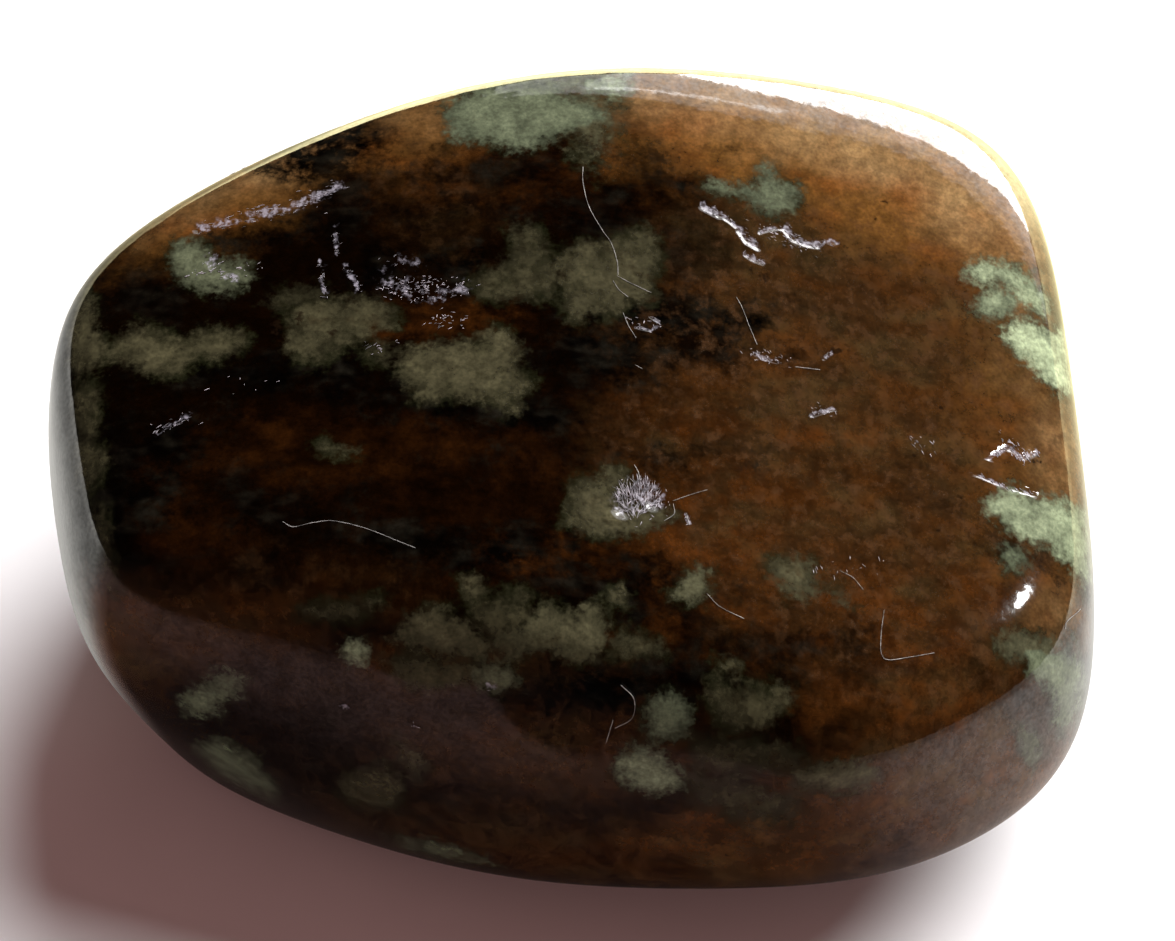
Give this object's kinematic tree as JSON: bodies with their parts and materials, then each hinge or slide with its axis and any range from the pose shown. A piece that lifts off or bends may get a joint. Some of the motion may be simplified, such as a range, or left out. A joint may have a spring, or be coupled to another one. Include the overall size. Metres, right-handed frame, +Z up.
{
  "type": "nunderite tumbled stone",
  "caption": "Polished tumbled stone, a small irregular pebble with softly worn ground faces, that rests on a flat spot.",
  "frame": {"origin": "middle of the stone's outline, at the level of the flat spot it rests on", "axes": "+X along the stone's length towards its broad end, +Y towards its back, +Z up through its height, the shortest way"},
  "size_m": [0.0276, 0.0214, 0.0129],
  "materials": {
    "polished_stone": "tumble polished to a gloss, dark brown with dull green, orange-brown and black patches"
  },
  "bodies": {
    "root": {"stone": "polished_stone"}
  },
  "joints": []
}
